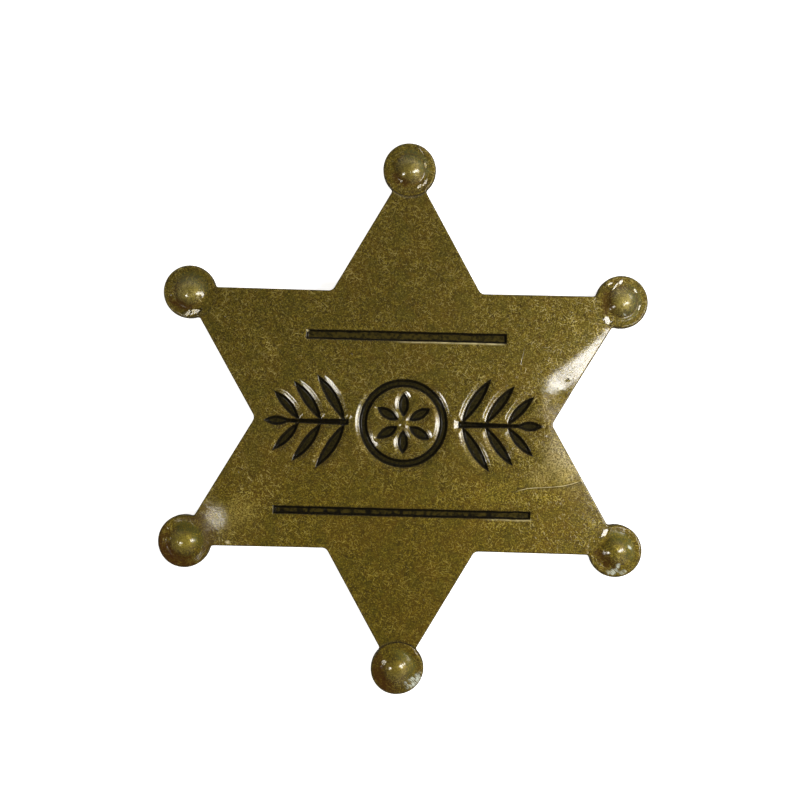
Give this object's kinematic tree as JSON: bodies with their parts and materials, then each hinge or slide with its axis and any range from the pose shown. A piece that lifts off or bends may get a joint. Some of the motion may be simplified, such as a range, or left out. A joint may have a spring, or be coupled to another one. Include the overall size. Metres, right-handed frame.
{
  "type": "sheriff star badge",
  "caption": "Star badge of struck, antiqued brass with a domed disc on each point, pressed rules and a leaf ornament, and a closed brooch pin on its back.",
  "frame": {"origin": "middle of the badge's footprint, on the surface that it lies on face up", "axes": "+Z out of the badge's face, +Y towards its top point, +X to the right as the face is seen"},
  "size_m": [0.0616, 0.07, 0.0047],
  "materials": {
    "antique_brass": "struck and antiqued: satin olive-brown brass, dark in every recess, rubbed bright on its edges",
    "pin_brass": "plain drawn and folded brass, lightly dulled"
  },
  "bodies": {
    "root": {"star_plate": "antique_brass", "pin_back": "pin_brass"}
  },
  "joints": []
}
